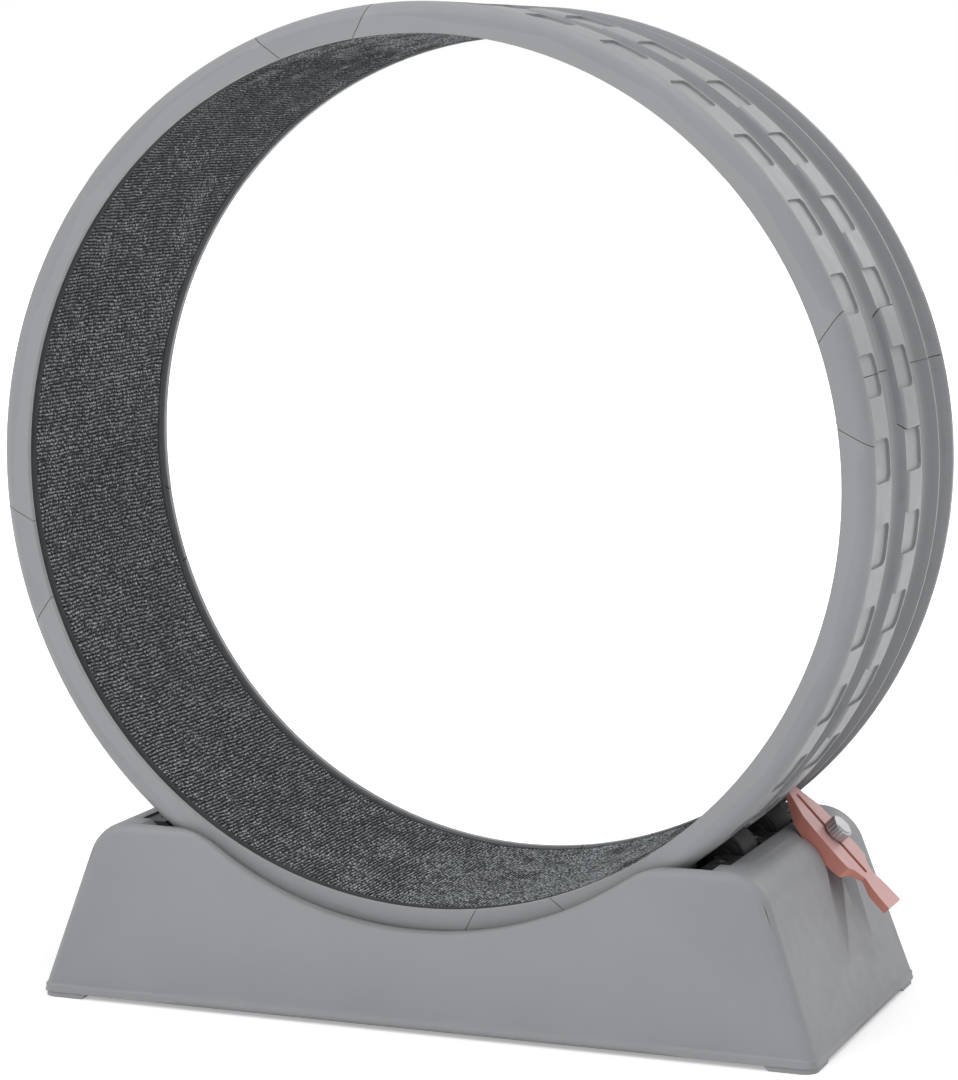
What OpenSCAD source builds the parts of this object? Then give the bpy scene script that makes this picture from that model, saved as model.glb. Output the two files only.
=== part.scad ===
// Cat exercise wheel. A running wheel of four quarter treads, locked together by keystone
// joint pieces, stands on four rollers in a moulded base. A wedge lever slides in a channel on
// the base's right end, and a knob clamps it while its tip holds the wheel still.
// Origin: on the floor under the wheel's centre. X is the running direction, Y the axle
// direction with the front face at -Y, Z is up. All lengths are millimetres.

/* [Wheel] */
// Outside radius over the ribs of the tread
wheel_r = 450; // [445:1:455]
// Width over both faces of the wheel
wheel_w = 302; // [300:1:304]
// Height of the wheel's centre above the floor
axle_z = 536; // [534:1:540]
// Radial height of the flat front face
face_h = 30; // [28:1:34]
// Radius of the rounded edge between the front face and the first rib
face_round = 13; // [8:1:14]
// Width of the two roller grooves
groove_w = 60; // [58:1:62]
// Depth of the grooves below the rib tops
groove_depth = 16; // [15:1:17]
// Width of the middle rib
rib_w = 50; // [46:1:52]
// Thickness of the thin fin beside the rear channel
fin_w = 3; // [2:0.5:5]
// Axial thickness of the rear flange
flange_w = 13; // [10:1:16]
// Wall left around the hollow ribs
rib_wall = 4; // [3:0.5:5]
// Thickness of the carpet lining
carpet_t = 4; // [3:0.5:5]
// Width of the lip that holds the carpet at each face
lip_w = 6; // [4:1:8]

/* [Tread pockets] */
// Pockets on each rib over a full turn
pocket_count = 36; // [24:4:40]
// Length of a pocket along the tread, in degrees
pocket_turn = 5.1; // [4:0.1:6]
// Depth of a pocket
pocket_depth = 2.8; // [2:0.1:3.2]
// Corner radius of a pocket
pocket_round = 7; // [4:1:9]
// Strip of rib left beyond a pocket
pocket_strip = 7; // [5:1:10]

/* [Tread joints] */
// Direction of the first joint, in degrees from +X towards +Z
joint_at = 13.3; // [0:0.1:89]
// Half the angle of a face key at the wheel's rim
face_key_rim = 8.05; // [7.5:0.05:8.5]
// Half the angle of a face key at the carpet
face_key_root = 5.35; // [5:0.05:6]
// Half the angle of a rib key at the rib's top
rib_key_rim = 7.53; // [7:0.01:8]
// Half the angle of a rib key at the groove floor
rib_key_root = 6.07; // [5.5:0.01:6.5]
// Gap at the joint lines
seam = 0.3; // [0.2:0.05:0.5]

/* [Base] */
// Length of the base over its foot flange
base_len = 808; // [800:1:820]
// Depth of the base over its foot flange
base_depth = 359; // [356:1:364]
// Height of the base's top above the floor
base_h = 180; // [178:1:183]
// Lean of the end walls from upright, in degrees
end_lean = 18.9; // [17:0.1:20]
// Lean of the front and rear walls from upright, in degrees
side_lean = 4.65; // [4:0.05:5]
// Radius that rounds the top into the end walls
end_round = 48; // [44:1:50]
// Radius of the trough that bares the wheel's face
trough_r = 378; // [372:1:384]
// Height of the trough's lowest point
trough_low = 97.7; // [94:0.1:102]
// Radius of the shoulders beside the trough
shoulder_r = 90; // [84:1:96]
// Radius of the edges round the front and rear walls
edge_round = 11; // [8:1:12]
// Wall of the base
base_wall = 4; // [3:0.5:5]
// Thickness of the ribs under the base
web_t = 3; // [2:0.5:4]
// Half the length of the mouth between the end caps
mouth_x = 309; // [308:1:312]
// Height of the foot flange
flange_h = 9; // [7:1:11]
// How far the foot flange stands out
flange_lip = 2.5; // [2:0.5:4]
// Height of the feet
foot_h = 5; // [4:0.5:7]
// Length of the feet
foot_len = 50; // [40:1:60]

/* [Rollers] */
// Radius of a roller over its tyre
tyre_r = 25; // [24:0.5:26]
// Width of a roller
roller_w = 44; // [40:1:46]
// Thickness of the tyre
tyre_t = 5; // [3:0.5:7]
// Distance of the roller pins from the wheel's middle plane across
roller_x = 280; // [276:1:281]
// Radius of a roller pin
pin_r = 4; // [3.5:0.5:5]
// Outside radius of a ball bearing
bearing_r = 11; // [10:0.5:12]
// Width of a ball bearing
bearing_w = 7; // [6:0.5:8]
// Radius of the bracket ears that hold the pins
ear_r = 13; // [10:0.5:14]
// Thickness of the bracket ears
ear_t = 5; // [4:0.5:5.5]
// Height of the pocket floor that the bracket stands on
bracket_z = 132; // [126:1:136]

/* [Lock lever] */
// Slope of the lever, in degrees below the horizontal, aimed at the wheel's centre
lever_slope = 45.8; // [45:0.1:46.5]
// Length of the lever from tip to tail
lever_len = 162; // [156:1:166]
// Thickness of the lever at its belly
lever_t = 16; // [14:0.5:17]
// Half the width of the lever at its belly
lever_half = 30; // [26:0.5:31]
// Width of the lever's slot
slot_w = 6.6; // [6.6:0.1:8]
// Radius of the clamp bolt
bolt_r = 3; // [2.5:0.1:3]
// Radius of the knob
knob_r = 12.5; // [11:0.5:14]
// Height of the knob
knob_h = 13; // [11:0.5:16]

/* [Hidden] */

// Colours
plastic = [0.56, 0.565, 0.58];
black = [0.09, 0.09, 0.10];
steel = [0.72, 0.72, 0.73];
pink = [0.85, 0.60, 0.56];
wool = [0.25, 0.27, 0.29];
tyre_grey = [0.2, 0.2, 0.21];
bright = [0.8, 0.8, 0.81];

// Overrun of every cut past the face that it goes through
over = 1;
// Gap between a seated piece and its seat
seat = 0.3;
// Running clearance of a pin in its bearing
running = 0.05;
$fn = 96;
wheel_fn = 180;
edge_fn = 48;
arc_steps = 4;

// Wheel sizes that follow
half_w = wheel_w / 2;
rib_half = rib_w / 2;
groove_end = rib_half + groove_w;
groove_mid = rib_half + groove_w / 2;
floor_r = wheel_r - groove_depth;
lip_r = wheel_r - face_h;
bed_r = lip_r + carpet_t;
rib_round = 4;
wall_draft = 1.5;
flange_round = 7;
quarter = 90;
segments = 360 / quarter;
face_key_t = 13.5;
rear_key_t = 10;
rib_key_root_r = floor_r + wall_draft;
key_reach = face_h / 2;
key_span = 10;
pocket_start = 11;
gusset_turn = 0.5;
cell_r = wheel_r - pocket_depth - rib_wall;

// Base sizes that follow
flange_top = foot_h + flange_h;
foot_x = base_len / 2 - flange_lip;
foot_y = base_depth / 2 - flange_lip;
end_cz = base_h - end_round;
end_cx = foot_x - (end_cz - flange_top) * tan(end_lean) - end_round / cos(end_lean);
trough_z = trough_low + trough_r;
shoulder_z = base_h - shoulder_r;
shoulder_x = sqrt(pow(trough_r + shoulder_r, 2) - pow(trough_z - shoulder_z, 2));
shoulder_turn = atan2(shoulder_x, trough_z - shoulder_z);
corner_r = 14;
flange_bevel = 2;
well_gap = 6;
well_y = half_w + well_gap;
well_room = 15;
well_r = wheel_r + well_room;
bay_x = 236;
web_pitch = 86;
web_count = 4;

// Roller sizes that follow
roller_z = axle_z - sqrt(pow(floor_r + seat + tyre_r, 2) - pow(roller_x, 2));
bracket_y = 134;
bracket_gap = 7;
bracket_sink = 2;
bracket_top = base_h - bracket_sink;
bracket_floor = 8;
bracket_wall = 5;
bay_half = groove_w / 2 - seat;
ear_gap = 1.5;
ear_out = groove_w / 2 - ear_gap;
hub_r = tyre_r - tyre_t;
tyre_crown = 2;
bearing_recess = 1.5;
hub_bore = 7;
race_t = 1.6;
race_r = pin_r + race_t;
shield_sink = 0.4;
spacer_r = 6.5;
screw_r = 2.5;
screw_head_r = 5.5;
screw_head_h = 4;
screw_hold = 18;
screw_x = 293;
screw_sink = 5;
screw_pitch = 110;
screw_ys = [-screw_pitch, 0, screw_pitch];
screw_short = 1;
screw_seat = bracket_top - screw_sink;
screw_tip = bracket_z - screw_hold + screw_short;
boss_r = 8;

// Lever sizes that follow, in the lever's own frame: X runs out from the wheel's axis,
// Z stands square to the lever's top face
lever_y = groove_mid;
tip_gap = 0.6;
tip_r = floor_r + tip_gap;
tail_r = tip_r + lever_len;
bolt_at = (end_cx * cos(lever_slope)) + (axle_z - end_cz) * sin(lever_slope);
slot_from = 19;
slot_to = 121;
seat_half = lever_half + 3;
belly_gap = 1;
valley_r = 26;
valley_depth = 8;
valley_top = 135;
valley_foot = 62;
valley_ys = [[38, -4], [74, 84]];
washer_r = 9;
washer_h = 1.5;
knob_flutes = 20;
knob_dome = 3;
knob_bore = 9;
flute_r = 1.2;
knob_z = 2 * seat + washer_h;
head_r = 5.8;
head_h = 4;
head_gap = 0.9;
head_z = -lever_t - belly_gap - base_wall - head_gap;
bolt_grip = 8;
knob_chamfer = 1;

// Outline shares of the lever: how far along it, and how wide as a share of lever_half
lever_plan_shares = [[0, 0.36], [0.07, 0.4], [0.13, 0.56], [0.25, 0.93], [0.36, 1], [0.6, 1.06],
                     [0.66, 1], [0.69, 0.72], [0.77, 0.46], [0.84, 0.6], [0.9, 0.66], [1, 0.7]];
// Underside of the lever: how far along it, and how thick as a share of lever_t
lever_belly_shares = [[0, 0.3], [0.075, 0.31], [0.235, 0.8], [0.32, 0.93], [0.42, 1], [0.53, 1],
                      [0.673, 0.86], [0.7, 0.5], [0.778, 0.32], [0.868, 0.52], [1, 0.47]];

function arc(cx, cz, r, a0, a1, n) =
    [for (i = [0 : n]) let (a = a0 + (a1 - a0) * i / n) [cx + r * cos(a), cz + r * sin(a)]];
function polar(r, a) = [r * cos(a), r * sin(a)];

// Places things in the wheel's frame: the Z axis of what is passed becomes the axle, and
// angles run from +X towards +Z
module on_axle() translate([0, 0, axle_z]) rotate([90, 0, 0]) children();
// Extrudes an X-Z outline along Y, between two places across the wheel
module across(y0, y1) translate([0, y1, 0]) rotate([90, 0, 0]) linear_extrude(y1 - y0) children();
// The same in the wheel's frame, for outlines drawn round the axle
module across_wheel(y0, y1) translate([0, 0, axle_z]) across(y0, y1) children();

// Section of the tread, as radius and place across. Each rib edge and groove root is an arc
function edge_down(y) = arc(wheel_r - rib_round, y - rib_round, rib_round, 0, 90, arc_steps);
function root_down(y) =
    arc(floor_r + rib_round, y + wall_draft + rib_round, rib_round, 270, 180, arc_steps);
function root_up(y) =
    arc(floor_r + rib_round, y - wall_draft - rib_round, rib_round, 180, 90, arc_steps);
function edge_up(y) = arc(wheel_r - rib_round, y + rib_round, rib_round, 270, 360, arc_steps);
function tread_points() = concat(
    [[bed_r, lip_w - half_w], [lip_r, lip_w - half_w], [lip_r, -half_w]],
    arc(wheel_r - face_round, face_round - half_w, face_round, 270, 360, 2 * arc_steps),
    edge_down(-groove_end), root_down(-groove_end), root_up(-rib_half), edge_up(-rib_half),
    edge_down(rib_half), root_down(rib_half), root_up(groove_end),
    [[wheel_r, groove_end], [wheel_r, groove_end + fin_w]],
    root_down(groove_end + fin_w), root_up(half_w - flange_w),
    [[wheel_r - wall_draft, half_w - flange_w], [wheel_r, half_w - flange_w + wall_draft]],
    arc(wheel_r - flange_round, half_w - flange_round, flange_round, 0, 90, arc_steps),
    [[lip_r, half_w], [lip_r, half_w - lip_w], [bed_r, half_w - lip_w]]);

// A band of the tread between two angles. The spin about the axle turns the place across
// over, so its sign is changed here
module tread_band(a0, a1)
    on_axle() rotate([0, 0, a0]) rotate_extrude(angle = a1 - a0, $fn = wheel_fn)
        polygon([for (p = tread_points()) [p[0], -p[1]]]);

// Outline of a key seen along the axle: two straight flanks through a point at the rim and a
// point at the root on each side
module keystone(at, rim_r, rim_half, root_r, root_half, grow) {
    side = [for (s = [-1, 1]) [polar(rim_r, s * rim_half), polar(root_r, s * root_half)]];
    reach = [for (f = side) let (out = (f[0] - f[1]) / norm(f[0] - f[1]) * key_reach)
        [f[0] + out, f[1] - out]];
    rotate(at) polygon([reach[0][1] - [0, grow], reach[0][0] - [0, grow],
                        reach[1][0] + [0, grow], reach[1][1] + [0, grow]]);
}
module face_key_form(at, y0, y1, grow)
    across_wheel(y0, y1) keystone(at, wheel_r, face_key_rim, lip_r, face_key_root, grow);
module rib_key_form(at, grow) difference() {
    across_wheel(-rib_half - over, rib_half + over)
        keystone(at, wheel_r, rib_key_rim, floor_r, rib_key_root, grow);
    on_axle() cylinder(r = rib_key_root_r, h = wheel_w, center = true);
}

// Rounded rectangle about its centre
module soft_rect(w, h, r) polygon(concat(
    arc(w / 2 - r, h / 2 - r, r, 0, 90, arc_steps), arc(r - w / 2, h / 2 - r, r, 90, 180, arc_steps),
    arc(r - w / 2, r - h / 2, r, 180, 270, arc_steps), arc(w / 2 - r, r - h / 2, r, 270, 360, arc_steps)));
// A pocket in a rib's top between two places across the wheel, with a floor that follows it
module pocket(at, y0, y1) {
    long = 2 * wheel_r * sin(pocket_turn / 2);
    on_axle() rotate([0, 0, at]) difference() {
        translate([floor_r, 0, -(y0 + y1) / 2]) rotate([90, 0, 90])
            linear_extrude(2 * groove_depth) soft_rect(long, y1 - y0, pocket_round);
        cylinder(r = wheel_r - pocket_depth, h = wheel_w, center = true);
    }
}
module front_pocket(at) pocket(at, pocket_start - half_w, -groove_end - pocket_strip);
module rib_pocket(at) pocket(at, -rib_half - pocket_strip, rib_half - pocket_strip);

// Hollow cells behind the two wide ribs, open towards the carpet, with a gusset under each pocket
module rib_cells(at, y0, y1)
    on_axle() rotate([0, 0, at + gusset_turn / 2])
        rotate_extrude(angle = 360 / pocket_count - gusset_turn, $fn = wheel_fn)
            polygon([[bed_r - over, -y0], [cell_r, -y0], [cell_r, -y1], [bed_r - over, -y1]]);

module tread_segment(n) {
    from = joint_at + quarter * (n - 1);
    gap = seam / 2 / wheel_r * 180 / PI;
    step = 360 / pocket_count;
    color(plastic) difference() {
        tread_band(from + gap, from + quarter - gap);
        for (i = [0 : pocket_count / segments]) front_pocket(from + i * step);
        for (i = [1 : pocket_count / segments - 1]) rib_pocket(from + i * step);
        for (at = [from, from + quarter]) {
            face_key_form(at, -half_w - over, face_key_t - half_w, seam);
            face_key_form(at, half_w - rear_key_t, half_w + over, seam);
            rib_key_form(at, seam);
        }
        for (i = [1 : pocket_count / segments - 2]) {
            rib_cells(from + i * step, face_key_t + rib_wall - half_w, -groove_end - rib_wall);
            rib_cells(from + i * step, rib_wall - rib_half, rib_half - rib_wall);
        }
    }
}
module front_key(n) {
    at = joint_at + quarter * (n - 1);
    color(plastic) difference() {
        intersection() {
            tread_band(at - key_span, at + key_span);
            face_key_form(at, -half_w - over, face_key_t - half_w, 0);
        }
        front_pocket(at);
    }
}
module rib_key(n) {
    at = joint_at + quarter * (n - 1);
    color(plastic) difference() {
        intersection() {
            tread_band(at - key_span, at + key_span);
            rib_key_form(at, 0);
        }
        rib_pocket(at);
    }
}
module rear_key(n) {
    at = joint_at + quarter * (n - 1);
    color(plastic) intersection() {
        tread_band(at - key_span, at + key_span);
        face_key_form(at, half_w - rear_key_t, half_w + over, 0);
    }
}
module carpet() color(wool) on_axle() difference() {
    cylinder(r = bed_r, h = wheel_w - 2 * (lip_w + seat), center = true, $fn = wheel_fn);
    cylinder(r = lip_r, h = wheel_w, center = true, $fn = wheel_fn);
}

// Lean of the walls, and the base's outline seen from the front, drawn in by an inset: end
// wall, rounded top end, flat, shoulder and trough
function end_x(z) = foot_x - (z - flange_top) * tan(end_lean);
function wall_y(z) = foot_y - (z - flange_top) * tan(side_lean);
function trough_half(inset) = concat(
    arc(shoulder_x, shoulder_z, shoulder_r - inset, 90, 90 + shoulder_turn, 2 * arc_steps),
    arc(0, trough_z, trough_r + inset, shoulder_turn - 90, -90, 6 * arc_steps));
function both_halves(half) =
    concat(half, [for (i = [len(half) - 2 : -1 : 0]) [-half[i][0], half[i][1]]]);
function outline(inset, foot) = both_halves(concat(
    [[end_x(foot) - inset / cos(end_lean), foot]],
    arc(end_cx, end_cz, end_round - inset, end_lean, 90, 2 * arc_steps),
    trough_half(inset)));

// The outer form before the trough is cut: discs with a round rim in its four upper corners and
// a flat round at each corner of its foot, drawn together
module rim_disc() rotate([90, 0, 0]) rotate_extrude($fn = edge_fn) polygon(concat(
    [[0, edge_round], [0, -edge_round]],
    arc(end_round - edge_round, 0, edge_round, -90, 90, 2 * arc_steps)));
module base_form() hull() for (x = [-1, 1], y = [-1, 1]) {
    translate([x * end_cx, y * (wall_y(base_h - edge_round) - edge_round / cos(side_lean)), end_cz])
        rim_disc();
    translate([x * (end_x(foot_h) - edge_round), y * (wall_y(foot_h) - edge_round), foot_h])
        cylinder(r = edge_round, h = over, $fn = edge_fn);
}
module base_hollow() intersection() {
    across(-base_depth, base_depth) polygon(outline(base_wall, -over));
    rotate([90, 0, 90]) translate([0, 0, -base_len]) linear_extrude(2 * base_len)
        polygon([for (p = [[-1, -over], [1, -over], [1, base_h], [-1, base_h]])
            [p[0] * (wall_y(p[1]) - base_wall), p[1]]]);
}
// The trough through the front and rear walls
module trough() across(-base_depth, base_depth)
    polygon(concat(both_halves(trough_half(0)),
                   [[-shoulder_x, base_h + over], [shoulder_x, base_h + over]]));

module foot_outline(inset)
    soft_rect(base_len - 2 * inset, base_depth - 2 * inset, corner_r - inset);
module foot_flange() translate([0, 0, foot_h]) hull() {
    linear_extrude(flange_h - flange_bevel) foot_outline(0);
    linear_extrude(flange_h) foot_outline(flange_bevel);
}

// Room for the wheel, and at each end a deeper bay for the roller bracket
module well(grow) {
    intersection() {
        on_axle() cylinder(r = well_r + grow, h = 2 * (well_y + grow), center = true, $fn = wheel_fn);
        translate([-mouth_x - grow, -well_y - grow, 0])
            cube([2 * (mouth_x + grow), 2 * (well_y + grow), axle_z]);
    }
    for (s = [0, 1]) mirror([s, 0, 0])
        translate([bay_x - grow, -bracket_y - seat - grow, bracket_z - grow])
            cube([mouth_x - bay_x + 2 * grow, 2 * (bracket_y + seat + grow), base_h]);
}
module lever_frame() translate([0, 0, axle_z]) rotate([0, lever_slope, 0]) children();
// Flat seat for the lever across the base's rounded end
module lever_seat(grow) lever_frame()
    translate([bolt_at - end_round, lever_y - seat_half - grow, -lever_t - belly_gap - grow])
        cube([2 * end_round, 2 * (seat_half + grow), 2 * lever_t]);
// Two round-bottomed valleys below the seat, which run out lower down the end wall
function wall_at(z, y, off) = [end_x(z) + off * cos(end_lean), y, z + off * sin(end_lean)];
module valley(ys, grow) {
    top = wall_at(valley_top, ys[0], valley_r - valley_depth);
    way = wall_at(valley_foot, ys[1], valley_r) - top;
    translate(top - way) rotate([0, acos(way[2] / norm(way)), atan2(way[1], way[0])])
        cylinder(r = valley_r + grow, h = 3 * norm(way));
}
module lever_room(grow) {
    lever_seat(grow);
    for (ys = valley_ys) valley(ys, grow);
}
module screw_places() for (s = [-1, 1], y = screw_ys) translate([s * screw_x, y, 0]) children();

// Four feet under the flange's corners, each chamfered at its two inner ends
module feet() for (sx = [0, 1], sy = [0, 1]) mirror([sx, 0, 0]) mirror([0, sy, 0]) intersection() {
    linear_extrude(foot_h + over) foot_outline(flange_bevel / 2);
    across(0, base_depth) foot_chamfer(base_len / 2);
    rotate([0, 0, 90]) across(-base_len, 0) foot_chamfer(base_depth / 2);
}
module foot_chamfer(reach) polygon([[reach, 0], [reach, foot_h + over],
                                    [reach - foot_len - over, foot_h + over], [reach - foot_len + foot_h, 0]]);

module base_shell() color(plastic) union() {
    base_moulding();
    feet();
}
module base_moulding() difference() {
    union() {
        base_form();
        foot_flange();
    }
    trough();
    well(0);
    lever_room(0);
    lever_frame() translate([bolt_at, lever_y, -2 * end_round])
        cylinder(r = bolt_r + seat, h = 2 * end_round);
    at_bolt(head_z - 2 * head_h) cylinder(r = head_r + head_gap, h = 2 * head_h + seat);
    screw_places() translate([0, 0, bracket_z - screw_hold])
        cylinder(r = screw_r + running, h = screw_hold + over);
    difference() {
        base_hollow();
        well(base_wall);
        lever_room(base_wall);
        for (i = [-web_count : web_count]) translate([i * web_pitch - web_t / 2, -base_depth / 2, foot_h])
            cube([web_t, base_depth, base_h]);
        for (i = [-1 : 1]) translate([-base_len / 2, i * web_pitch - web_t / 2, foot_h])
            cube([base_len, web_t, base_h]);
        screw_places() translate([0, 0, bracket_z - screw_hold - base_wall])
            cylinder(r = boss_r, h = screw_hold + base_wall);
    }
}

// Roller bracket of the right end: a tray with two bays, and ears that hold the pins
module bracket_right() color(black) difference() {
    union() {
        difference() {
            translate([bay_x + seat, -bracket_y, bracket_z])
                cube([mouth_x - bay_x - 2 * seat, 2 * bracket_y, bracket_top - bracket_z]);
            on_axle() cylinder(r = wheel_r + bracket_gap, h = 3 * bracket_y, center = true, $fn = wheel_fn);
            for (s = [-1, 1]) translate([bay_x + bracket_wall, s * groove_mid - bay_half,
                                         bracket_z + bracket_floor])
                cube([mouth_x - bay_x, 2 * bay_half, base_h]);
        }
        for (s = [-1, 1], t = [-1, 1])
            translate([roller_x, s * groove_mid + t * (ear_out - ear_t / 2), roller_z]) {
                rotate([90, 0, 0]) cylinder(r = ear_r, h = ear_t, center = true);
                translate([-ear_r, -ear_t / 2, bracket_z + bracket_floor / 2 - roller_z])
                    cube([2 * ear_r, ear_t, roller_z - bracket_z - bracket_floor / 2]);
            }
    }
    for (s = [-1, 1]) translate([roller_x, s * groove_mid, roller_z]) rotate([90, 0, 0])
        cylinder(r = pin_r + running, h = groove_w, center = true);
    for (y = screw_ys) translate([screw_x, y, 0]) {
        cylinder(r = screw_r + seat, h = base_h + over);
        translate([0, 0, screw_seat]) cylinder(r = screw_head_r + seat, h = base_h);
    }
}
module bracket_left() mirror([1, 0, 0]) bracket_right();
// Round-headed screws with a hexagon socket, through the bracket into bosses of the base
module bracket_screws_right() color(steel)
    for (y = screw_ys) translate([screw_x, y, screw_seat]) difference() {
        union() {
            translate([0, 0, screw_tip - screw_seat])
                cylinder(r = screw_r, h = screw_seat - screw_tip + screw_head_h / 2);
            cylinder(r = screw_head_r, h = screw_head_h);
        }
        translate([0, 0, screw_head_h / 2]) cylinder(r = screw_r, h = screw_head_h, $fn = 6);
    }
module bracket_screws_left() mirror([1, 0, 0]) bracket_screws_right();

// Rollers 1 to 4: left front, left rear, right front, right rear
module at_roller(n) translate([(n > 2 ? 1 : -1) * roller_x, (n % 2 == 0 ? 1 : -1) * groove_mid, roller_z])
    rotate([90, 0, 0]) children();
module roller_pin(n) color(steel) at_roller(n) cylinder(r = pin_r, h = 2 * ear_out, center = true);
module roller_spacers(n) {
    start = roller_w / 2 - bearing_recess;
    long = ear_out - ear_t - start - running;
    color(steel) for (s = [0, 1]) at_roller(n) mirror([0, 0, s])
        translate([0, 0, start + running]) difference() {
            cylinder(r = spacer_r, h = long);
            translate([0, 0, -over]) cylinder(r = pin_r + running, h = long + 2 * over);
        }
}
module roller_hub(n) {
    seat_z = roller_w / 2 - bearing_recess - bearing_w;
    seat_r = bearing_r + running;
    color(black) at_roller(n) rotate_extrude() polygon([[hub_bore, -seat_z], [seat_r, -seat_z],
        [seat_r, -roller_w / 2], [hub_r, -roller_w / 2], [hub_r, roller_w / 2],
        [seat_r, roller_w / 2], [seat_r, seat_z], [hub_bore, seat_z]]);
}
module roller_tyre(n) color(tyre_grey) at_roller(n) rotate_extrude() polygon(concat(
    [[hub_r, roller_w / 2], [hub_r, -roller_w / 2]],
    arc(tyre_r - tyre_crown, tyre_crown - roller_w / 2, tyre_crown, 270, 360, arc_steps),
    arc(tyre_r - tyre_crown, roller_w / 2 - tyre_crown, tyre_crown, 0, 90, arc_steps)));
module roller_bearings(n) color(steel) for (s = [0, 1]) at_roller(n) mirror([0, 0, s])
    translate([0, 0, roller_w / 2 - bearing_recess - bearing_w]) rotate_extrude() polygon([
        [pin_r + running, 0], [race_r, 0], [race_r, shield_sink], [bearing_r - race_t, shield_sink],
        [bearing_r - race_t, 0], [bearing_r, 0], [bearing_r, bearing_w],
        [bearing_r - race_t, bearing_w], [bearing_r - race_t, bearing_w - shield_sink],
        [race_r, bearing_w - shield_sink], [race_r, bearing_w], [pin_r + running, bearing_w]]);

// Lock lever: its outline from above, cut to its side profile, with a slot for the bolt
module lever_plan() polygon(concat(
    [for (p = lever_plan_shares) [tip_r + p[0] * lever_len, p[1] * lever_half]],
    [for (i = [len(lever_plan_shares) - 1 : -1 : 0]) let (p = lever_plan_shares[i])
        [tip_r + p[0] * lever_len, -p[1] * lever_half]]));
module lever_side() polygon(concat([[tail_r, 0], [tip_r, 0]],
    [for (p = lever_belly_shares) [tip_r + p[0] * lever_len, -p[1] * lever_t]]));
module lock_lever() color(pink) lever_frame() difference() {
    intersection() {
        translate([0, lever_y, -lever_t]) linear_extrude(lever_t) lever_plan();
        across(lever_y - 2 * lever_half, lever_y + 2 * lever_half) lever_side();
    }
    for (x = [slot_from + slot_w / 2, slot_to - slot_w / 2])
        translate([tip_r + x, lever_y, -2 * lever_t]) cylinder(r = slot_w / 2, h = 3 * lever_t);
    translate([tip_r + slot_from + slot_w / 2, lever_y - slot_w / 2, -2 * lever_t])
        cube([slot_to - slot_from - slot_w, slot_w, 3 * lever_t]);
}
// Hexagon-headed bolt from inside the base, washer and ribbed knob
module at_bolt(z) lever_frame() translate([bolt_at, lever_y, z]) children();
module clamp_bolt() color(steel) {
    at_bolt(head_z - head_h) cylinder(r = head_r, h = head_h, $fn = 6);
    at_bolt(head_z - head_h / 2) cylinder(r = bolt_r, h = knob_z + bolt_grip - head_z + head_h / 2);
}
module clamp_washer() color(steel) at_bolt(seat) difference() {
    cylinder(r = washer_r, h = washer_h);
    translate([0, 0, -over]) cylinder(r = bolt_r + running, h = washer_h + 2 * over);
}
module clamp_knob() color(bright) at_bolt(knob_z) difference() {
    rotate_extrude() polygon(concat([[0, 0], [knob_r - knob_chamfer, 0],
        [knob_r, knob_chamfer], [knob_r, knob_h - knob_dome]],
        arc(knob_r - knob_dome, knob_h - knob_dome, knob_dome, 0, 90, arc_steps), [[0, knob_h]]));
    translate([0, 0, -over]) cylinder(r = bolt_r + running, h = knob_bore + over);
    for (i = [1 : knob_flutes]) rotate([0, 0, i * 360 / knob_flutes])
        translate([knob_r + flute_r / 2, 0, -over]) cylinder(r = flute_r, h = 2 * knob_h, $fn = edge_fn);
}

base_shell();
bracket_left();
bracket_right();
bracket_screws_left();
bracket_screws_right();
lock_lever();
clamp_bolt();
clamp_washer();
clamp_knob();
carpet();
roller_pin(1);  // roller_pin_1
roller_pin(2);  // roller_pin_2
roller_pin(3);  // roller_pin_3
roller_pin(4);  // roller_pin_4
roller_spacers(1);  // roller_spacers_1
roller_spacers(2);  // roller_spacers_2
roller_spacers(3);  // roller_spacers_3
roller_spacers(4);  // roller_spacers_4
roller_hub(1);  // roller_hub_1
roller_hub(2);  // roller_hub_2
roller_hub(3);  // roller_hub_3
roller_hub(4);  // roller_hub_4
roller_tyre(1);  // roller_tyre_1
roller_tyre(2);  // roller_tyre_2
roller_tyre(3);  // roller_tyre_3
roller_tyre(4);  // roller_tyre_4
roller_bearings(1);  // roller_bearings_1
roller_bearings(2);  // roller_bearings_2
roller_bearings(3);  // roller_bearings_3
roller_bearings(4);  // roller_bearings_4
tread_segment(1);  // tread_segment_1
tread_segment(2);  // tread_segment_2
tread_segment(3);  // tread_segment_3
tread_segment(4);  // tread_segment_4
front_key(1);  // front_key_1
front_key(2);  // front_key_2
front_key(3);  // front_key_3
front_key(4);  // front_key_4
rib_key(1);  // rib_key_1
rib_key(2);  // rib_key_2
rib_key(3);  // rib_key_3
rib_key(4);  // rib_key_4
rear_key(1);  // rear_key_1
rear_key(2);  // rear_key_2
rear_key(3);  // rear_key_3
rear_key(4);  // rear_key_4
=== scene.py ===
# Cat exercise wheel: looks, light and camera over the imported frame.
import bpy
import bmesh
import math
from math import sin, cos, pi, radians
from mathutils import Vector, Matrix, noise


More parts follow.
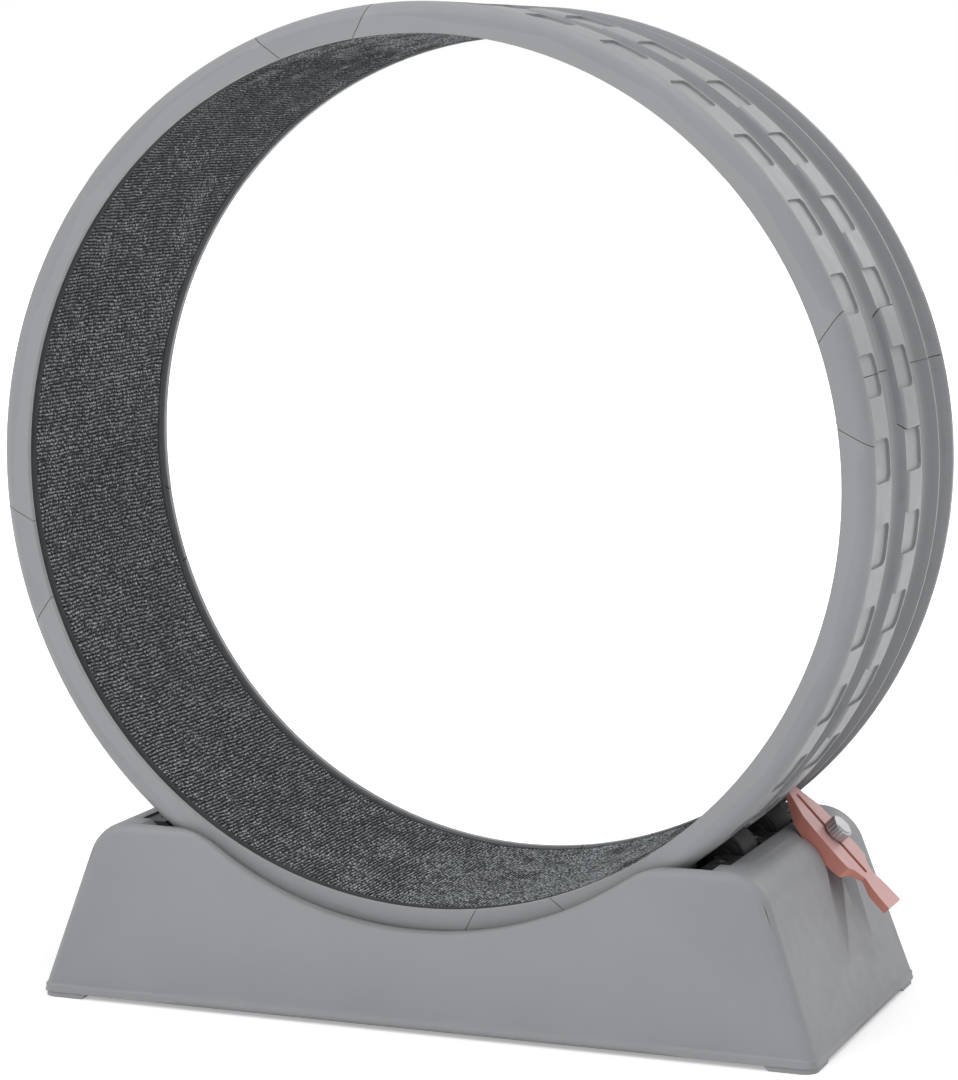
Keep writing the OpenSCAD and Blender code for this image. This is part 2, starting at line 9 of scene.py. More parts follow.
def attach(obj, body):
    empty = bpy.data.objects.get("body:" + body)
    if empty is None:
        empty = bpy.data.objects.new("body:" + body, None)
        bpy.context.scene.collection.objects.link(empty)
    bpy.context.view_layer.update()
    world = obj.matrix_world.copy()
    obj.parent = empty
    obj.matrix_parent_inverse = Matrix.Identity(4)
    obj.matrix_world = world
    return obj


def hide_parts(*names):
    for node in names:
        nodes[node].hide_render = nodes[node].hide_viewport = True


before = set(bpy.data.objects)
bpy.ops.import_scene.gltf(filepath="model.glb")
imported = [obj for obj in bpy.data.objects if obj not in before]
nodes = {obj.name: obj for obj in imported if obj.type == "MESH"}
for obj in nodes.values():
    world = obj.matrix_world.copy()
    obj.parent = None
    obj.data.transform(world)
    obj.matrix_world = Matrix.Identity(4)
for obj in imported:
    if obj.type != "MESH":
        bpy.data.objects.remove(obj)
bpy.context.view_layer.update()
scene = bpy.context.scene

# Sizes shared with the source, in metres
AXLE = 0.536
RIM = 0.450
LIP = 0.420
BED = 0.424
HALF = 0.151
LIP_W = 0.006
TRACK_HALF = HALF - LIP_W
QUARTERS = 4
QUARTER = 2 * pi / QUARTERS
JOINT = radians(13.3)
SLOPE = radians(45.8)
TROUGH_R = 0.378
TROUGH_Z = 0.4757
SHOULDER_R = 0.090
SHOULDER_X = 0.26507
SHOULDER_Z = 0.090
LEVER_Y = 0.035

# Keys at the joints: radius and half angle at the rim, then at the root
FACE_KEY = (0.450, radians(8.05), 0.420, radians(5.35))
RIB_KEY = (0.450, radians(7.53), 0.434, radians(6.07))
RIB_KEY_FOOT = 0.4355
RIB_KEY_HALF = 0.027
FACE_KEY_BACK = -0.1375
REAR_KEY_BACK = 0.141
FACE_KEY_TURN = radians(8.4)
KEYS_TURN = radians(9)
SEAM = 0.0003
FLANK_REACH = 2.5 * SEAM

# Softened edges of the solids, and the width of the near-black line of painted shade and dirt at a
# joint
TREAD_EDGE = 0.0016
LEVER_EDGE = 0.0010
BRACKET_EDGE = 0.0008
FINE_EDGE = 0.0004
METAL_EDGE = 0.0003
JOINT_EDGE = 0.00065
EDGE_TURN = radians(38)
SHARP_TURN = radians(34)
BASE_SHARP_TURN = radians(42)
FLAT_TURN = radians(0.2)
SAME_PLACE = 1e-6
BASE_SAME_PLACE = 0.0007
MICRONS = 1e6
BEVEL_STEPS = 2

# Range that most noise values fall in
MIDDLE = (0.3, 0.7)

# Plastic: what counts as a sharp edge with a painted highlight and as a face turned away into
# painted shade, specks, and spread of the pieces
EDGE_HIGHLIGHT_RANGE = (0.505, 0.56)
EDGE_HIGHLIGHT_SHARE = 0.6
TURNED = (0.55, 0.9)
SPECKS = (0.62, 0.8)
SPECK_SHARE = 0.14
SPREAD = (0.985, 1.015)

# Fades of the painted light at the ends of the tread's grooves: across, and out from the axle
GROOVE_Y = (0.140, 0.146)
GROOVE_R = (RIM - 0.013, RIM - 0.008)

# Softened places of the base, each faded between two distances, and how far they are rounded
TROUGH_FADE = (TROUGH_R + 0.012, TROUGH_R + 0.030)
SHOULDER_FADE = (SHOULDER_R - 0.030, SHOULDER_R - 0.014)
SHOULDER_SIDE = (-0.02, 0.02)
VALLEY_X = (0.335, 0.345)
VALLEY_Y = (0.075, 0.095)
VALLEY_Z = (0.150, 0.165)
FLANGE_Z = (0.020, 0.030)
FLANGE_SHARE = 0.14
ROUNDING = 0.0085
ROUNDING_SAMPLES = 6

# Carpet's looks: how the rows sway, how the loops shift from row to row, the painted shade in the
# gaps and the yarn's tones
ROW = 0.0039
LOOP = 0.0034
ROW_SWAY = 0.0060
ROW_JITTER = 0.0030
LOOP_SHIFT = 0.37
GAP_SHADE = (0.004, 0.005, 0.006)
YARN = ((0.0, (0.170, 0.196, 0.210)), (0.5, (0.330, 0.366, 0.388)),
        (0.85, (0.480, 0.525, 0.550)), (1.0, (0.800, 0.830, 0.840)))

# Carpet's mesh: rows round the track, points across it, and how far its edges and face stray. A
# rate says how fast a noise changes round the wheel, and one across how fast along its width
ROWS = 680
ROW_POINTS = 4
ACROSS = 56
PILE_EDGE = TRACK_HALF - 0.0105
PILE_LIFT = 0.0004
PILE_BACK = BED - 0.0003
WANDER, WANDER_RATE = 0.0016, 6
FRONT_SEED, REAR_SEED = 0.3, 5.7
RIDGE = 0.00040
SWELL, SWELL_RATE, SWELL_ACROSS = 0.0007, 9, 30
LOOP_H, LOOP_RATE, LOOP_ACROSS = 0.0005, 130, 300
CROWN = 0.0016
CROWN_POINTS = 1.2

# Bound edge of the carpet: its two sides, its folds, and the loose lump beside a joint. A point
# of its section is a distance from the wheel's middle and a depth under the lip
BAND_POINTS = 1440
BAND_OUT = TRACK_HALF - 0.0007
BAND_IN = TRACK_HALF - 0.0138
BAND_BACK = 0.0037
BAND_DEEPEST = 0.0038
BAND = ((BAND_IN, 0.0012), (BAND_IN + 0.0018, 0.0003), (BAND_IN + 0.0060, 0.0009),
        (BAND_OUT - 0.0026, 0.0016), (BAND_OUT - 0.0012, 0.0030),
        (BAND_OUT, BAND_BACK), (BAND_IN, BAND_BACK))
FOLDED = (3, 4)
LUMPED = (2, 3, 4)
DRIFT, DRIFT_RATE, DRIFT_SEED = 0.0007, 8, 2.2
FOLD, FOLD_RATE, FOLD_SEED = 0.0007, 45, 4.1
FOLD_SHARE = 0.3
JOINT_FOLD = 0.0016
LUMP_AT = radians(8.6)
LUMP_TURN = radians(1.5)
LUMP_H = 0.0045

# Camera at the photo's place, with its lens and shift measured in pixels of the photo's height
AZIMUTH = radians(22.71)
ELEVATION = radians(6.31)
ROLL = -0.0119
AWAY = 7.4587 * RIM
AIM = Vector((-0.0733 * RIM, 0, AXLE - 0.013 * RIM))
FILM = 36
PHOTO_H = 1080
FOCAL = 3365.51
SHIFT_X = 35.65
SHIFT_Y = -74.44
SIGHT = 60

# Lamps: name, place, aim, size and watts
LAMPS = (("key", (-2.2, -3.4, 3.0), (0, 0, 0.45), (2.4, 2.0), 55),
         ("fill", (3.0, -2.4, 2.2), (0, 0, 0.45), (2.2, 2.2), 8),
         ("top", (0.9, -0.3, 3.8), (0, 0, 0.5), (2.8, 2.8), 44),
         ("back", (1.5, 3.2, 2.2), (0, 0, 0.5), (2.0, 2.0), 22))
WHITE = (1, 1, 1)
FLOOR_TONE = (0.86, 0.86, 0.86)
FLOOR_HALF = 30
GLOW_FROM, GLOW_TO, GLOW_NEAR = 0.7, 2.4, 0.36
LEFT_X, RIGHT_X, LEFT_LEVEL, RIGHT_LEVEL = -0.6, 0.9, 0.70, 0.52


def make_camera():
    right = Vector((cos(AZIMUTH), sin(AZIMUTH), 0))
    back = Vector((sin(AZIMUTH) * cos(ELEVATION), -cos(AZIMUTH) * cos(ELEVATION), sin(ELEVATION)))
    up = back.cross(right)
    right, up = cos(ROLL) * right + sin(ROLL) * up, cos(ROLL) * up - sin(ROLL) * right
    cam = bpy.data.objects.new("camera", bpy.data.cameras.new("camera"))
    scene.collection.objects.link(cam)
    place = AIM + AWAY * back
    cam.matrix_world = Matrix(((right.x, up.x, back.x, place.x), (right.y, up.y, back.y, place.y),
                               (right.z, up.z, back.z, place.z), (0, 0, 0, 1)))
    cam.data.lens = FILM * FOCAL / PHOTO_H
    cam.data.sensor_width = FILM
    cam.data.shift_x = SHIFT_X / PHOTO_H
    cam.data.shift_y = SHIFT_Y / PHOTO_H
    cam.data.clip_end = SIGHT
    scene.camera = cam


# Node helpers. A value is a number, a colour or vector, or another node's output
class Graph:
    def __init__(self, owner, output="OutputMaterial"):
        owner.use_nodes = True
        self.owner = owner
        self.tree = owner.node_tree
        self.tree.nodes.clear()
        self.out = self.node(output)

    def node(self, kind, **settings):
        n = self.tree.nodes.new("ShaderNode" + kind)
        for key, value in settings.items():
            setattr(n, key, value)
        return n

    def feed(self, socket, value):
        if isinstance(value, (int, float)):
            socket.default_value = value
        elif isinstance(value, tuple):
            socket.default_value = (*value, 1) if socket.type == "RGBA" else value
        else:
            self.tree.links.new(value, socket)

    def fill(self, n, **values):
        for key, value in values.items():
            self.feed(n.inputs[key.replace("_", " ")], value)
        return n

    def math(self, op, a, b=None):
        n = self.node("Math", operation=op)
        self.feed(n.inputs[0], a)
        if b is not None:
            self.feed(n.inputs[1], b)
        return n.outputs[0]

    def times(self, a, b):
        return self.math("MULTIPLY", a, b)

    def less(self, a, b):
        return self.math("SUBTRACT", a, b)

    def size(self, a):
        return self.math("ABSOLUTE", a)

    def most(self, a, b):
        return self.math("MAXIMUM", a, b)

    def squares(self, a, b):
        return self.math("ADD", self.times(a, a), self.times(b, b))

    def noise(self, vector, scale, detail=2.0, rough=0.5):
        n = self.fill(self.node("TexNoise"), Scale=scale, Detail=detail, Roughness=rough,
                      Vector=vector)
        return n.outputs["Fac"]

    def ramp(self, value, stops):
        n = self.node("ValToRGB")
        while len(n.color_ramp.elements) < len(stops):
            n.color_ramp.elements.new(0.5)
        for e, (at, colour) in zip(n.color_ramp.elements, stops):
            e.position = at
            e.color = (*colour, 1)
        self.feed(n.inputs["Fac"], value)
        return n.outputs["Color"]

    def tones(self, value, low, high):
        return self.ramp(value, [(MIDDLE[0], low), (MIDDLE[1], high)])

    def span(self, value, low, high, to_low, to_high):
        n = self.fill(self.node("MapRange"), From_Min=low, From_Max=high,
                      To_Min=to_low, To_Max=to_high, Value=value)
        return n.outputs["Result"]

    def mix(self, factor, a, b, blend="MIX"):
        n = self.fill(self.node("Mix", data_type="RGBA", blend_type=blend), Factor=factor)
        self.feed(n.inputs["A"], a)
        self.feed(n.inputs["B"], b)
        return [s for s in n.outputs if s.type == "RGBA"][0]

    def grey(self, value):
        return self.fill(self.node("CombineXYZ"), X=value, Y=value, Z=value).outputs[0]

    def coords(self):
        return self.node("TexCoord").outputs["Object"]

    def parts(self, vector):
        n = self.node("SeparateXYZ")
        self.feed(n.inputs[0], vector)
        return n.outputs

    def bump(self, height, strength, distance, normal=None):
        n = self.fill(self.node("Bump"), Strength=strength, Distance=distance, Height=height)
        if normal is not None:
            self.feed(n.inputs["Normal"], normal)
        return n.outputs["Normal"]

    def principled(self, colour, rough, normal, **fixed):
        n = self.fill(self.node("BsdfPrincipled"), Base_Color=colour, Roughness=rough,
                      Normal=normal, **fixed)
        self.surface(n)
        return self.owner

    def surface(self, n):
        self.feed(self.out.inputs["Surface"], n.outputs[0])


def material_graph(name):
    return Graph(bpy.data.materials.new(name))


def shaded(colour, share, lift=0):
    return tuple(min(c * share + lift, 1) for c in colour)


# Moulded plastic: fine leather grain, cloudy tone from the mould, and a painted highlight on sharp
# edges. A side tone is painted shade on the faces that turn away from the given direction, and a
# groove light is painted light in the tread's grooves, for the light their walls throw on each
# other
def plastic(name, base, rough=0.48, cloud=0.05, edge=0.10,
            side=None, facing=None, groove_light=None, round_off=None):
    g = material_graph(name)
    at = g.coords()
    cloudy = g.noise(at, scale=7, detail=4, rough=0.6)
    tone = g.tones(cloudy, shaded(base, 1 - cloud), shaded(base, 1 + cloud))
    # Painted highlight: sharp convex edges are made lighter
    edge_highlight = g.span(g.node("NewGeometry").outputs["Pointiness"], *EDGE_HIGHLIGHT_RANGE, 0, 1)
    tone = g.mix(g.times(edge_highlight, EDGE_HIGHLIGHT_SHARE), tone, shaded(base, 1 + edge, 0.01))
    # Painted shade: faces turned away from the facing direction take the deeper side tone
    if side is not None:
        turned = g.node("VectorMath", operation="DOT_PRODUCT")
        g.feed(turned.inputs[0], g.node("TexCoord").outputs["Normal"])
        g.feed(turned.inputs[1], facing)
        tone = g.mix(g.span(turned.outputs["Value"], *TURNED, 1, 0), tone, side)
    # Painted light: a lighter tone in the tread's grooves
    if groove_light is not None:
        tone = g.mix(in_grooves(g, at), tone, groove_light)
    each = g.span(g.node("ObjectInfo").outputs["Random"], 0, 1, *SPREAD)
    tone = g.mix(1.0, tone, g.grey(each), "MULTIPLY")
    speck = g.noise(at, scale=2600, detail=1)
    tone = g.mix(g.span(speck, *SPECKS, 0, SPECK_SHARE), tone, shaded(base, 0.75))
    grain = g.noise(at, scale=900, detail=3, rough=0.6)
    wavy = g.noise(at, scale=35, detail=2)
    rounded = round_off(g, at) if round_off else None
    normal = g.bump(wavy, strength=0.12, distance=0.0006, normal=rounded)
    normal = g.bump(grain, strength=0.35, distance=0.00006, normal=normal)
    uneven = g.noise(at, scale=60, detail=5, rough=0.65)
    gloss = g.span(uneven, *MIDDLE, rough - 0.06, rough + 0.08)
    return g.principled(tone, gloss, normal)


# Mask of the painted light: one in the tread's grooves between the ribs, and nothing on the ribs
# and on both faces
def in_grooves(g, at):
    x, y, z = g.parts(at)
    reach = g.math("SQRT", g.squares(x, g.less(z, AXLE)))
    inside = g.span(g.size(y), *GROOVE_Y, 1, 0)
    return g.times(g.span(reach, *GROOVE_R, 1, 0), inside)


# Metal with fine turned scratches
def metal(name, base, rough):
    g = material_graph(name)
    at = g.coords()
    stretch = g.fill(g.node("Mapping"), Scale=(1, 1, 60), Vector=at)
    lines = g.noise(stretch.outputs["Vector"], scale=180, detail=4, rough=0.7)
    tone = g.tones(g.noise(at, scale=90, detail=3), shaded(base, 0.88), base)
    normal = g.bump(lines, strength=0.25, distance=0.00005)
    gloss = g.span(lines, *MIDDLE, rough - 0.08, rough + 0.12)
    return g.principled(tone, gloss, normal, Metallic=1.0)


# Rubber: matt, with dust in its pores
def rubber(name, base):
    g = material_graph(name)
    at = g.coords()
    dust = g.noise(at, scale=240, detail=5, rough=0.7)
    tone = g.ramp(dust, [(0.4, base), (0.75, shaded(base, 1.5, 0.015))])
    normal = g.bump(g.noise(at, scale=700, detail=2), strength=0.4, distance=0.0001)
    return g.principled(tone, g.span(dust, *MIDDLE, 0.6, 0.85), normal)


# Rounded look of the trough's rim, of the shoulders, of the valleys under the lever and of the
# flange. The rest of the base keeps the solid's own rounds
def soft_rims(g, at):
    x, y, z = g.parts(at)
    reach = g.math("POWER", g.squares(x, g.less(z, TROUGH_Z)), 0.5)
    rim = g.span(reach, *TROUGH_FADE, 1, 0)
    aside = g.less(g.size(x), SHOULDER_X)
    around = g.math("POWER", g.squares(aside, g.less(z, SHOULDER_Z)), 0.5)
    shoulder = g.times(g.span(around, *SHOULDER_FADE, 0, 1), g.span(aside, *SHOULDER_SIDE, 1, 0))
    valley = g.times(g.span(x, *VALLEY_X, 0, 1), g.span(z, *VALLEY_Z, 1, 0))
    valley = g.times(valley, g.span(g.size(g.less(y, LEVER_Y)), *VALLEY_Y, 1, 0))
    flange = g.span(z, *FLANGE_Z, FLANGE_SHARE, 0)
    where = g.most(g.most(g.most(rim, shoulder), valley), flange)
    n = g.fill(g.node("Bevel", samples=ROUNDING_SAMPLES), Radius=g.span(where, 0, 1, 0, ROUNDING))
    return n.outputs["Normal"]


# Carpet: rows of loops across the track. Near-black painted shade parts the rows in gaps that break
# up irregularly and darkens the low parts of the loops, each loop is its own bead, and some yarn is
# paler
def carpet_material():
    g = material_graph("carpet_loops")
    at = g.coords()
    x, y, z = g.parts(at)
    along = g.times(g.math("ARCTAN2", g.less(z, AXLE), x), LIP)
    sway = g.times(g.less(g.noise(at, scale=22, detail=2), 0.5), ROW_SWAY)
    jitter = g.times(g.less(g.noise(at, scale=190, detail=2), 0.5), ROW_JITTER)
    row = g.math("DIVIDE", g.math("ADD", g.math("ADD", along, sway), jitter), ROW)
    loop = g.math("ADD", g.math("DIVIDE", y, LOOP), g.times(g.math("FLOOR", row), LOOP_SHIFT))
    cells = g.node("TexVoronoi", voronoi_dimensions="2D", feature="F1")
    place = g.fill(g.node("CombineXYZ"), X=row, Y=loop)
    g.fill(cells, Scale=1.0, Randomness=0.8, Vector=place.outputs[0])
    bead = g.span(cells.outputs["Distance"], 0.08, 0.66, 1, 0)
    edge = g.times(g.size(g.less(g.math("FRACT", row), 0.5)), 2)
    strength = g.span(g.noise(at, scale=75, detail=3, rough=0.6), 0.30, 0.62, 0.35, 1.0)
    dip = g.times(g.span(edge, 0.35, 0.9, 0, 1), strength)
    twist = g.noise(at, scale=430, detail=2, rough=0.7)
    height = g.less(g.math("ADD", g.times(bead, 0.7), g.times(twist, 0.8)), dip)
    # Painted shade: the lower the loops' surface, the darker, down to the near-black gap shade
    shade = g.math("POWER", g.span(height, -0.02, 0.90, 0, 1), 2.5)
    fleck = g.node("SeparateColor")
    g.feed(fleck.inputs[0], cells.outputs["Color"])
    yarn = g.ramp(fleck.outputs[0], YARN)
    patch = g.tones(g.noise(at, scale=6, detail=3), (0.90, 0.90, 0.90), (1.06, 1.06, 1.06))
    tone = g.mix(shade, GAP_SHADE, g.mix(1.0, yarn, patch, "MULTIPLY"))
    normal = g.bump(height, strength=1.0, distance=0.0020)
    return g.principled(tone, 0.95, normal, Sheen_Weight=0.05, Sheen_Roughness=0.5)


# Bound edge of the carpet: pressed flat and smooth, with a fine weave
def binding_material():
    g = material_graph("carpet_binding")
    at = g.coords()
    weave = g.noise(at, scale=900, detail=2, rough=0.6)
    tone = g.ramp(weave, [(0.3, (0.020, 0.023, 0.026)), (0.75, (0.058, 0.066, 0.071))])
    wide = g.noise(at, scale=40, detail=3, rough=0.6)
    tone = g.mix(1.0, tone, g.tones(wide, (0.7, 0.7, 0.7), (1.1, 1.1, 1.1)), "MULTIPLY")
    return g.principled(tone, 0.85, g.bump(weave, strength=0.6, distance=0.0005))


# Painted shade and dirt in the gap where two pieces meet: a near-black line
def gap_shade_material():
    g = material_graph("joint_gap_shade")
    shade_and_grime = g.noise(g.coords(), scale=300, detail=3)
    tone = g.tones(shade_and_grime, (0.020, 0.020, 0.022), (0.050, 0.050, 0.053))
    return g.principled(tone, 0.9, g.bump(shade_and_grime, strength=0.3, distance=0.0002))


# Grey plastics have a faint painted highlight on their edges; the tread's grey has painted light in
# its grooves
grey = plastic("grey_plastic", (0.284, 0.289, 0.304), groove_light=(0.360, 0.366, 0.382))
base_grey = plastic("grey_plastic_base", (0.282, 0.287, 0.302), round_off=soft_rims)
gap = gap_shade_material()
# Black plastic, with a strong painted highlight on its edges
black = plastic("black_plastic", (0.016, 0.016, 0.018), rough=0.42, cloud=0.2, edge=0.8)
# Pink lever, with painted shade on its sides, which turn away from its lit top
pink = plastic("pink_plastic", (0.640, 0.360, 0.345), rough=0.42, cloud=0.05, edge=0.12,
               side=(0.600, 0.235, 0.185), facing=(sin(SLOPE), 0, cos(SLOPE)))
steel = metal("bright_steel", (0.62, 0.62, 0.63), 0.28)
knob = metal("knob_metal", (0.44, 0.44, 0.45), 0.30)
tyre = rubber("roller_rubber", (0.020, 0.020, 0.022))
loops = carpet_material()
tape = binding_material()

# Every carried-over node: the first row that its name starts with gives its material and the
# width of its softened edges. What no row names is a grey piece of the tread
SMALL_METAL = ("bracket_screws", "roller_pin", "roller_spacers", "roller_bearings", "clamp_bolt",
               "clamp_washer")
LOOKS = ((SMALL_METAL, steel, METAL_EDGE),
         (("bracket_", "roller_hub"), black, BRACKET_EDGE),
         (("roller_tyre",), tyre, FINE_EDGE),
         (("clamp_knob",), knob, FINE_EDGE),
         (("lock_lever",), pink, LEVER_EDGE),
         (("base_shell",), base_grey, None))
JOINED = ("tread_segment", "front_key", "rib_key", "rear_key")


def look_of(name):
    for starts, material, width in LOOKS:
        if name.startswith(starts):
            return material, width
    return grey, TREAD_EDGE


# Turn from the nearest joint between two quarters
def from_joint(angle):
    return (angle - JOINT + QUARTER / 2) % QUARTER - QUARTER / 2


# Planes of the joints between the tread pieces: each key's two flanks and the line between quarters
def joint_planes():
    planes = []
    for k in range(QUARTERS):
        at = JOINT + k * QUARTER
        planes.append((Vector((0, 0, 0)), Vector((-sin(at), 0, cos(at)))))
        for rim_r, rim_half, root_r, root_half in (FACE_KEY, RIB_KEY):
            for s in (-1, 1):
                a = Vector((rim_r * cos(at + s * rim_half), 0, rim_r * sin(at + s * rim_half)))
                b = Vector((root_r * cos(at + s * root_half), 0, root_r * sin(at + s * root_half)))
                way = (a - b).normalized()
                planes.append((a, Vector((-way.z, 0, way.x))))
    return planes


JOINTS = joint_planes()


# Whether a face lies in a joint: on a flank or a quarter's end, on a rib key's foot, or on the back
# of a face key
def in_joint(centre, normal, across=0.02, flank_match=0.9998, foot_match=0.99, back_match=0.999):
    place = centre - Vector((0, 0, AXLE))
    turn = from_joint(math.atan2(place.z, place.x))
    if abs(turn) > KEYS_TURN:
        return False
    if abs(normal.y) < across:
        flat = Vector((place.x, 0, place.z))
        if any(abs(normal.dot(n)) > flank_match and abs((flat - p).dot(n)) < FLANK_REACH
               for p, n in JOINTS):
            return True
        level = abs(normal.dot(flat.normalized())) > foot_match
        return level and abs(flat.length - RIB_KEY_FOOT) < SEAM and abs(place.y) < RIB_KEY_HALF
    on_back = abs(turn) < FACE_KEY_TURN and abs(normal.y) > back_match
    return on_back and min(abs(place.y - FACE_KEY_BACK), abs(place.y - REAR_KEY_BACK)) < SEAM


# Weights the edges where a joint's face meets an open face, so that they round into a near-black
# line of painted shade and dirt.
# The faces don't share corners, so edges are matched by place
def mark_joints(mesh, level=0.94):
    faces = [in_joint(p.center, p.normal) for p in mesh.polygons]
    spot = [tuple(round(c * MICRONS) for c in v.co) for v in mesh.vertices]
    beside = {}
    for p in mesh.polygons:
        for a, b in p.edge_keys:
            beside.setdefault(frozenset((spot[a], spot[b])), set()).add(p.index)
    weight = mesh.attributes.new("bevel_weight_edge", "FLOAT", "EDGE")
    marked = False
    for e in mesh.edges:
        a, b = e.vertices
        two = list(beside.get(frozenset((spot[a], spot[b])), ()))
        if len(two) == 2 and faces[two[0]] != faces[two[1]]:
            if mesh.polygons[two[0]].normal.dot(mesh.polygons[two[1]].normal) < level:
                weight.data[e.index].value = 1.0
                marked = True
    return marked


def soften(o, width, limit):
    bevel = o.modifiers.new("soft_edges", "BEVEL")
    bevel.width = width
    bevel.segments = BEVEL_STEPS
    bevel.limit_method = limit
    bevel.angle_limit = EDGE_TURN
    return bevel


# Thin facets of the base's rounded corners are joined before the shading. It has no bevel: its
# sharp edges are parted in place of that
for name, o in nodes.items():
    material, width = look_of(name)
    o.data.materials.clear()
    o.data.materials.append(material)
    weld = o.modifiers.new("weld", "WELD")
    weld.merge_threshold = SAME_PLACE if width else BASE_SAME_PLACE
    flat = o.modifiers.new("flat_faces", "DECIMATE")
    flat.decimate_type = "DISSOLVE"
    flat.angle_limit = FLAT_TURN
    if name.startswith(JOINED):
        # Joints get the near-black gap material on their rounded edges: painted shade and dirt
        o.data.materials.append(gap)
        if mark_joints(o.data):
            soften(o, JOINT_EDGE, "WEIGHT").material = 1
    if width:
        soften(o, width, "ANGLE")
    else:
        parted = o.modifiers.new("sharp_edges", "EDGE_SPLIT")
        parted.split_angle = BASE_SHARP_TURN
    for p in o.data.polygons:
        p.use_smooth = True
    o.data.set_sharp_from_angle(angle=SHARP_TURN)
    even = o.modifiers.new("even_shading", "WEIGHTED_NORMAL")
    even.keep_sharp = True


def new_piece(name, verts, faces, material, body):
    mesh = bpy.data.meshes.new(name)
    mesh.from_pydata(verts, [], faces)
    form = bmesh.new()
    form.from_mesh(mesh)
    bmesh.ops.recalc_face_normals(form, faces=form.faces)
    form.to_mesh(mesh)
    form.free()
    o = bpy.data.objects.new(name, mesh)
    scene.collection.objects.link(o)
    mesh.materials.append(material)
    for p in mesh.polygons:
        p.use_smooth = True
    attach(o, body)
    return o


def ring_at(r, y, a):
    return (r * cos(a), y, AXLE + r * sin(a))


# Noise that closes on itself round the wheel: the rate sets how fast it changes along the ring
def ring_noise(a, rate, third):
    return noise.noise(Vector((cos(a) * rate, sin(a) * rate, third)))


# Faces of a closed tube whose section has a number of points
def tube_faces(around, section, flipped=False):
    faces = []
    for i in range(around):
        k = (i + 1) % around
        for j in range(section):
            m = (j + 1) % section
            ring = (i * section + j, k * section + j, k * section + m, i * section + m)
            faces.append(ring[::-1] if flipped else ring)
    return faces


# Carpet: a closed strip laid round the inside, with rows of loops and a soft swell over the bed.
# Its two long edges are pressed down into a smooth bound band
def make_carpet():
    around = ROWS * ROW_POINTS
    verts = []
    for i in range(around):
        a = 2 * pi * i / around
        front = -PILE_EDGE + WANDER * ring_noise(a, WANDER_RATE, FRONT_SEED)
        rear = PILE_EDGE + WANDER * ring_noise(a, WANDER_RATE, REAR_SEED)
        ridge = RIDGE * cos(2 * pi * (i % ROW_POINTS) / ROW_POINTS)
        for j in range(ACROSS + 1):
            t = j / ACROSS
            y = front + t * (rear - front)
            swell = SWELL * ring_noise(a, SWELL_RATE, y * SWELL_ACROSS)
            loop = LOOP_H * ring_noise(a, LOOP_RATE, y * LOOP_ACROSS)
            crown = CROWN * max(0.0, 1 - min(t, 1 - t) * ACROSS / CROWN_POINTS) ** 2
            verts.append(ring_at(LIP + PILE_LIFT + ridge + swell + loop + crown, y, a))
        verts.append(ring_at(PILE_BACK, rear, a))
        verts.append(ring_at(PILE_BACK, front, a))
    o = new_piece("carpet_lining", verts, tube_faces(around, ACROSS + 3), loops, "wheel")
    return o


# Bound edge: a band that slopes from the pile down to the lip, with small folds along its outer
# side, which are larger at the joints, and one lump on the front band
def make_binding(name, sign):
    lumped = LUMPED if sign < 0 else ()
    verts = []
    for i in range(BAND_POINTS):
        a = 2 * pi * i / BAND_POINTS
        drift = DRIFT * ring_noise(a, DRIFT_RATE, DRIFT_SEED + sign)
        ragged = FOLD + JOINT_FOLD * max(0.0, 1 - (from_joint(a) / FACE_KEY[3]) ** 4)
        fold = ragged * ring_noise(a, FOLD_RATE, FOLD_SEED + sign)
        bulge = LUMP_H * max(0.0, 1 - ((a - LUMP_AT) / LUMP_TURN) ** 2)
        for j, (y, depth) in enumerate(BAND):
            deep = min(depth + (fold if j in FOLDED else FOLD_SHARE * fold), BAND_DEEPEST)
            out = min(y + drift + (fold if j in FOLDED else 0), BAND_OUT)
            lump = bulge if j in lumped else 0
            verts.append(ring_at(LIP + deep - lump, sign * out, a))
    o = new_piece(name, verts, tube_faces(BAND_POINTS, len(BAND), sign < 0), tape, "wheel")
    return o


carpet = make_carpet()
bind_front = make_binding("carpet_binding_front", -1)
bind_rear = make_binding("carpet_binding_rear", 1)
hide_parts("carpet")


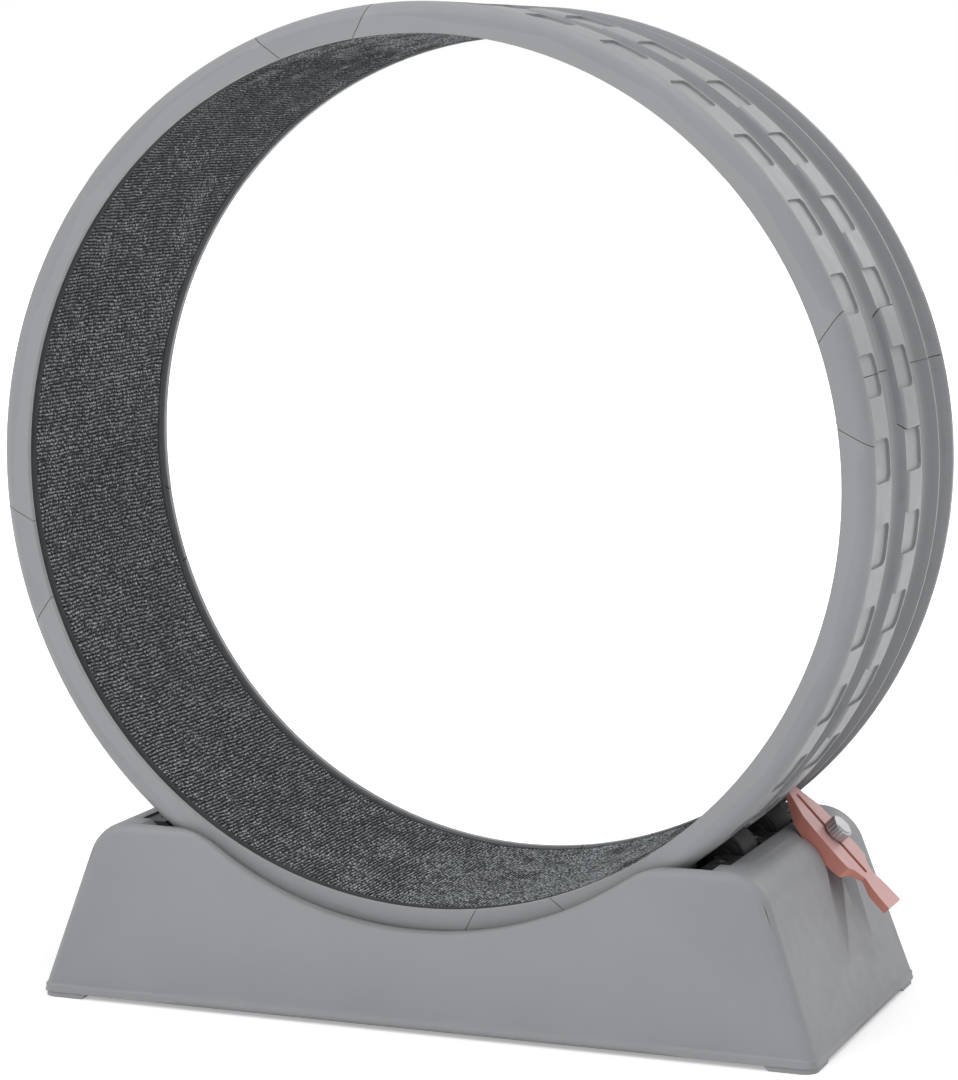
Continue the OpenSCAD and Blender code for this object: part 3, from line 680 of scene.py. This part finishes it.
# Pale floor that turns white away from the wheel and keeps its shadow
def make_floor():
    g = material_graph("pale_floor")
    diffuse = g.fill(g.node("BsdfDiffuse"), Color=FLOOR_TONE)
    path = g.node("LightPath").outputs
    far = g.node("VectorMath", operation="LENGTH")
    g.feed(far.inputs[0], g.coords())
    glow = g.span(far.outputs["Value"], GLOW_FROM, GLOW_TO, GLOW_NEAR, 1.0)
    seen = g.most(path["Is Camera Ray"], path["Is Glossy Ray"])
    light = g.fill(g.node("Emission"), Color=WHITE, Strength=g.times(seen, glow))
    both = g.node("AddShader")
    g.feed(both.inputs[0], diffuse.outputs[0])
    g.feed(both.inputs[1], light.outputs[0])
    g.surface(both)
    mesh = bpy.data.meshes.new("floor")
    corners = [(x * FLOOR_HALF, y * FLOOR_HALF, 0) for x, y in ((-1, -1), (1, -1), (1, 1), (-1, 1))]
    mesh.from_pydata(corners, [], [(0, 1, 2, 3)])
    floor = bpy.data.objects.new("floor", mesh)
    scene.collection.objects.link(floor)
    mesh.materials.append(g.owner)


# World: white behind the object, and a softer light on it that falls off to the right
def make_world():
    world = bpy.data.worlds.new("studio")
    scene.world = world
    g = Graph(world, "OutputWorld")
    path = g.node("LightPath").outputs
    seen = g.most(path["Is Camera Ray"], path["Is Transmission Ray"])
    x = g.parts(g.node("TexCoord").outputs["Generated"])["X"]
    light = g.span(x, LEFT_X, RIGHT_X, LEFT_LEVEL, RIGHT_LEVEL)
    back = g.fill(g.node("Background"), Color=WHITE, Strength=g.span(seen, 0, 1, light, 1.0))
    g.surface(back)


def lamp(name, place, aim, size, watts):
    data = bpy.data.lights.new(name, "AREA")
    data.shape = "RECTANGLE"
    data.size, data.size_y = size
    data.energy = watts
    o = bpy.data.objects.new(name, data)
    scene.collection.objects.link(o)
    o.location = place
    o.rotation_euler = (Vector(aim) - Vector(place)).to_track_quat("-Z", "Y").to_euler()


make_camera()
make_floor()
make_world()
for row in LAMPS:
    lamp(*row)

scene.view_settings.view_transform = "Standard"
